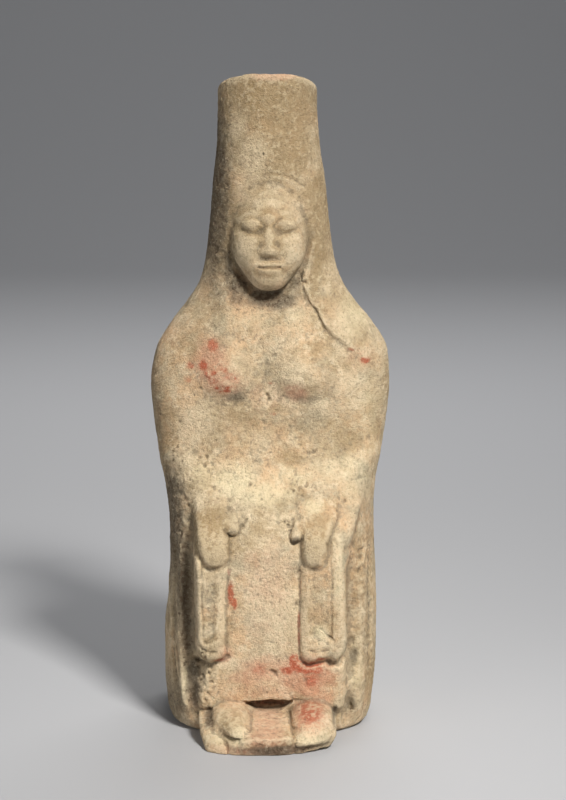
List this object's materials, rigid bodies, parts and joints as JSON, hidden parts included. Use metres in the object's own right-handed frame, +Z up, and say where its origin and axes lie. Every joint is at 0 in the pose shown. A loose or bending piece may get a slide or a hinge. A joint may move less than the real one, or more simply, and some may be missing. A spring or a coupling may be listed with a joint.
{
  "type": "terracotta goddess figurine",
  "caption": "Mould-made terracotta figurine of a veiled goddess seated on a throne, hands on knees, with a tall headdress, hanging panels and a footstool; it stands on its flat underside.",
  "frame": {"origin": "on the floor, under the middle of the box round the whole figurine", "axes": "+Z up from the underside to the headdress; the figure faces -Y; +X is to the viewer's right when seen from the front"},
  "size_m": [0.0928, 0.095, 0.2498],
  "materials": {
    "terracotta": "unglazed buff clay, grainy and worn, with remains of red paint, grey-brown dirt and a cream bloom over the lap"
  },
  "bodies": {
    "root": {"goddess_figurine": "terracotta"}
  },
  "joints": []
}
